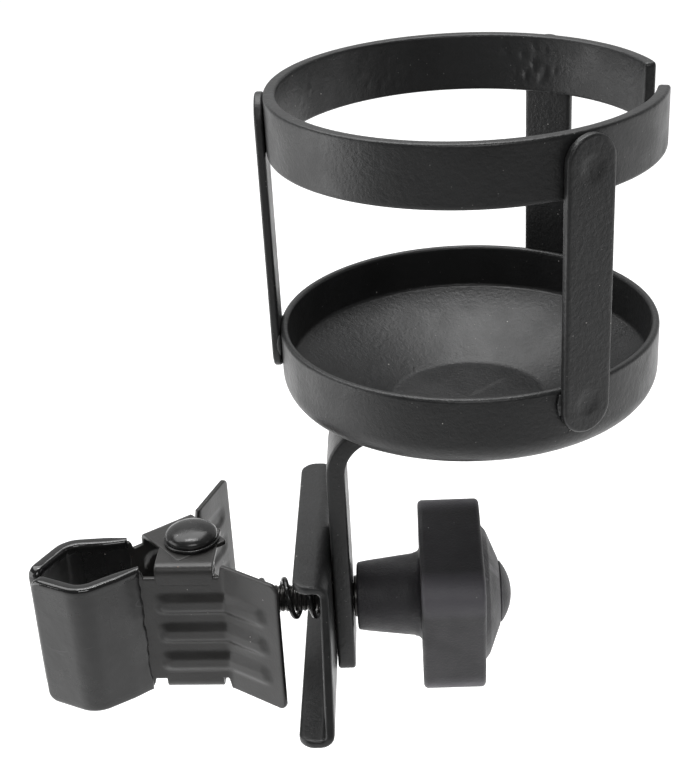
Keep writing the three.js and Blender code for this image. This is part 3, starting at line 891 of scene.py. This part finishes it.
def jaw(far):
    """One pressed jaw: its side, waist, ribs and wing, with both ears joined on."""
    route = jaw_route()
    notch_in = route.at(0, WAIST[0] + 0.6 * MM)
    ear_in = route.at(0, EAR_FROM, notch_in)
    ear_out = route.at(0, EAR_TO, ear_in)
    notch_out = ear_out + 2.0 * MM
    ribs_end = notch_out + (route.length - notch_out) * 0.74
    soft = 0.45 * MM
    turns = [np.linspace(a - 0.8 * MM, a + 0.8 * MM, 7) for a in (notch_in, ear_in, ear_out, notch_out)]
    s = stations(route.length, 0.5 * MM, soft, turns)

    def between(a, b, x, ease=0.5 * MM):
        return smooth(a - ease, a + ease, x) * (1 - smooth(b - ease, b + ease, x))

    height = np.where(s < notch_in, DIPPED_HALF, CLIP_HALF)
    height = height - (height - NOTCH_HALF) * between(notch_in, notch_out, s)
    height = height - (NOTCH_HALF - EAR_NOTCH_HALF) * between(ear_in + 0.8 * MM, ear_out - 0.8 * MM, s)
    height = height - corner_inset(route.length - s, 2.2 * MM)
    rows = [(RIB_SHIFT if far else -RIB_SHIFT) + k * RIB_PITCH for k in (-1, 0, 1)]

    def relief(S, W, side):
        push = np.zeros_like(S)
        for row in rows:
            first, last = ear_in + 0.4 * MM + RIB_HALF, ribs_end - RIB_HALF
            past = np.maximum(np.maximum(first - S, S - last), 0) * 0.8
            d = (np.abs(W - row) ** 3 + past ** 3) ** (1 / 3)
            crown = RIB_HALF * (0.45 - 0.30 * smooth(-1.5 * MM, 1.5 * MM, W - row))
            push -= RIB_HEIGHT * (1 - smooth(crown, RIB_HALF * 1.25, d))
        return push * (1 - 0.25 * smooth(notch_out, ribs_end, S))

    def place(S, W, T):
        p, n = route.point(S), route.normal(S)
        return clip_point(p[..., 0] + n[..., 0] * T, p[..., 1] + n[..., 1] * T, W, far)

    name = "far" if far else "near"
    sheet = sheet_piece(f"jaw_{name}_sheet", s, -height, height, CLIP_SHEET / 2, soft, place, 96, relief, 45)
    join([sheet] + [ear(f"ear_{name}_{k}", side, far) for k, side in ((0, 1), (1, -1))])
    fit(sheet, "powder_coat", "clip_" + name, "jaw_" + name, finish="clip_paint")


def join(parts):
    """Joins meshes into the first one."""
    work = bmesh.new()
    for part in parts:
        work.from_mesh(part.data)
    work.to_mesh(parts[0].data)
    work.free()
    for part in parts[1:]:
        bpy.data.objects.remove(part)


def ear(name, side, far):
    """The top or bottom ear of one jaw: it folds off the side and ends in a lug over the pivot."""
    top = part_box("jaw_far" if far else "jaw_near")[1].z - BOLT_Z
    level = top - CLIP_SHEET / 2
    bend = 1.7 * MM
    route = Route(rounded([(-SIDE, EAR_ROOT), (-SIDE, level), (EAR_REACH, level)], [bend], 16))
    soft = 0.42 * MM
    s = stations(route.length, 0.6 * MM, soft)
    inset = corner_inset(route.length - s, 1.0 * MM)
    low, high = EAR_FROM + inset, EAR_TO - inset

    def place(S, W, T):
        p, n = route.point(S), route.normal(S)
        return clip_point(W, p[..., 0] + n[..., 0] * T, side * (p[..., 1] + n[..., 1] * T), far)

    return sheet_piece(name, s, low, high, CLIP_SHEET / 2 - 0.01 * MM, soft, place, 30, None, 45)


def dip(far):
    """The vinyl sock over one jaw, with a slightly wandering end."""
    route = jaw_route()
    tip, corner = np.array(JAW_TIP), np.array(JAW_CORNER)
    outward = (tip - corner) / np.linalg.norm(tip - corner)
    covered = route.p[:np.argmax(route.p[:, 0] > DIP_END) + 1]
    sock = Route(np.concatenate([[tip + outward * VINYL], covered]))
    half = CLIP_SHEET / 2 + VINYL
    soft = 1.15 * MM
    s = stations(sock.length, 0.6 * MM, soft)
    random = np.random.default_rng(5 if far else 3)
    waves = [(random.uniform(0.08, 0.20) * MM, random.uniform(0, TAU), k) for k in (2, 3, 5, 9)]
    edge = CLIP_HALF - corner_inset(s, 3.0 * MM)
    thin = half - 0.55 * MM * smooth(sock.length - 7 * MM, sock.length, s)[:, None]

    def place(S, W, T):
        wander = sum(a * np.sin(k * W / (20 * MM) * math.pi + q) for a, q, k in waves)
        shift = S + wander * smooth(0.8, 1.0, S / sock.length)
        p, n = sock.point(shift), sock.normal(shift)
        return clip_point(p[..., 0] + n[..., 0] * T, p[..., 1] + n[..., 1] * T, W, far)

    def relief(S, W, side):
        sag = 0.06 * MM * np.sin(W / (7 * MM)) * np.sin(S / (9 * MM) + 1.0)
        return sag * smooth(0, 4 * MM, CLIP_HALF - np.abs(W))

    name = "far" if far else "near"
    piece = sheet_piece(f"dip_{name}_sock", s, -edge, edge, thin, soft, place, 56, relief, 60)
    fit(piece, "dipped_vinyl", "clip_" + name, "dip_" + name)


def rivet():
    low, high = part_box("rivet")
    head = (high.x - low.x) / 2
    top = high.z - BOLT_Z
    washer_low, under = (edge.z - BOLT_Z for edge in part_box("rivet_washer_top"))
    arc = np.linspace(0, math.pi / 2, 14)
    dome = [(head * math.cos(a), under + 0.7 * MM + (top - under - 0.7 * MM) * math.sin(a)) for a in arc]
    dome = [(head - 0.35 * MM, under), (head, under + 0.3 * MM)] + dome
    dome[-1] = (NEAR_AXIS, top)
    pin = 3.1 * MM
    lower = [(r, -h) for r, h in dome[::-1]]
    piece = turned("rivet_pin", lower + [(pin, -under), (pin, under)] + dome, "z", PIVOT, 96, sharp=45)
    fit(piece, "black_steel", "clip_near", "rivet")
    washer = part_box("rivet_washer_top")[1].x - PIVOT.x
    for side, name in ((1, "top"), (-1, "bottom")):
        ring = rounded([
            (pin, side * washer_low),
            (washer, side * washer_low),
            (washer, side * under),
            (pin, side * under),
            (pin, side * washer_low),
        ], [0.25 * MM, 0.3 * MM, 0], 5)
        disc = turned("washer_" + name, ring, "z", PIVOT, 96)
        fit(disc, "black_steel", "clip_near", "rivet_washer_" + name)


def torsion_spring():
    low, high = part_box("torsion_spring")
    wire_radius = 0.65 * MM
    radius = 5 * MM
    start, end = low.z - BOLT_Z + wire_radius, high.z - BOLT_Z - wire_radius
    coil = helix(radius, start, end, 3.5, 0.4, 150)
    u, v, z = coil[:, 1], coil[:, 2], coil[:, 0]
    points = clip_point(u, v, z, False)
    spring = wire("return_spring", points, wire_radius)
    fit(spring, "dark_zinc", "clip_near", "torsion_spring")


ring_band()
tray()
for strap_node, strap_angle in STRAP_ANGLES.items():
    strap(strap_node, strap_angle)
arm_bar()
tongue_welds()
strap_welds()
spreader_plate()
eye_bolt()
coil_spring()
knob()
for far_side in (False, True):
    jaw(far_side)
    dip(far_side)
rivet()
torsion_spring()


# ---- floor, light and camera ----
def fade_back(tree, coords, reach, strength, socket):
    """Raises a socket smoothly between two strengths as Y runs from the front to the back."""
    kinds = ("TexCoord", "SeparateXYZ", "MapRange")
    source, split, fade = (tree.nodes.new("ShaderNode" + kind) for kind in kinds)
    fade.interpolation_type = "SMOOTHSTEP"
    for key, value in zip(("From Min", "From Max", "To Min", "To Max"), reach + strength):
        fade.inputs[key].default_value = value
    tree.links.new(source.outputs[coords], split.inputs["Vector"])
    tree.links.new(split.outputs["Y"], fade.inputs["Value"])
    tree.links.new(fade.outputs["Result"], socket)


def floor():
    """A plain floor that glows as painted light, dim in front and bright behind, low enough for the cup to
    swing past it all the way round.
    """
    size = 6.0
    mesh = bpy.data.meshes.new("floor")
    z = BOLT_Z - math.hypot(CUP_RADIUS, RING_HIGH.z - BOLT_Z) - 3 * MM
    corners = [(-size, -size, z), (size, -size, z), (size, size, z), (-size, size, z)]
    mesh.from_pydata(corners, [], [(0, 1, 2, 3)])
    plane = bpy.data.objects.new("floor", mesh)
    bpy.context.scene.collection.objects.link(plane)
    material = bpy.data.materials.new("floor")
    material.use_nodes = True
    shader = material.node_tree.nodes["Principled BSDF"]
    shader.inputs["Base Color"].default_value = (0.62, 0.62, 0.62, 1)
    shader.inputs["Roughness"].default_value = 0.9
    shader.inputs["Emission Color"].default_value = (1, 1, 1, 1)
    # Painted light: the floor glows, its emission rising from dim in front to bright behind.
    fade_back(material.node_tree, "Object", (-0.40, 0.0), (0.03, 0.74), shader.inputs["Emission Strength"])
    mesh.materials.append(material)


def area_light(name, place, target, size, power):
    data = bpy.data.lights.new(name, "AREA")
    data.shape = "RECTANGLE"
    data.size, data.size_y = size
    data.energy = power
    light = bpy.data.objects.new(name, data)
    light.location = place
    light.rotation_euler = (Vector(target) - Vector(place)).to_track_quat("-Z", "Y").to_euler()
    bpy.context.scene.collection.objects.link(light)


def surroundings():
    """A white surround that is dark in front of the object and bright behind it."""
    world = bpy.data.worlds.new("studio")
    world.use_nodes = True
    background = world.node_tree.nodes["Background"]
    background.inputs["Color"].default_value = (1, 1, 1, 1)
    fade_back(world.node_tree, "Generated", (-0.2, 0.9), (0.05, 0.6), background.inputs["Strength"])
    bpy.context.scene.world = world


def camera():
    """The camera stands in front and above, tipped a little to one side."""
    data = bpy.data.cameras.new("camera")
    data.lens = 69.73
    data.sensor_width = 36
    data.clip_start = 0.01
    eye = bpy.data.objects.new("camera", data)
    right = Vector((0.99866, 0.01413, -0.04988))
    up = Vector((0.03804, 0.45410, 0.89014))
    back = Vector((0.03523, -0.89084, 0.45295))
    place = Vector((-17.44, -354.857, 184.124)) * MM
    eye.matrix_world = Matrix((
        (right.x, up.x, back.x, place.x),
        (right.y, up.y, back.y, place.y),
        (right.z, up.z, back.z, place.z),
        (0, 0, 0, 1),
    ))
    bpy.context.scene.collection.objects.link(eye)
    bpy.context.scene.camera = eye


floor()
area_light("left", (-0.75, -0.10, 0.02), (0, 0, -0.05), (0.45, 0.5), 2.1)
area_light("right", (0.75, -0.05, 0.02), (0, 0, -0.05), (0.45, 0.5), 0.5)
area_light("overhead", (-0.30, 0.35, 0.95), (-0.30, 0.33, 0), (1.3, 0.9), 13.5)
area_light("front", (0.05, -0.75, 0.55), (0, 0, -0.05), (0.5, 0.3), 2.3)
area_light("strip", (-0.06, 0.02, 0.85), (-0.06, 0.01, 0), (0.5, 0.06), 2.4)
surroundings()
camera()
bpy.context.scene.view_settings.view_transform = "Standard"
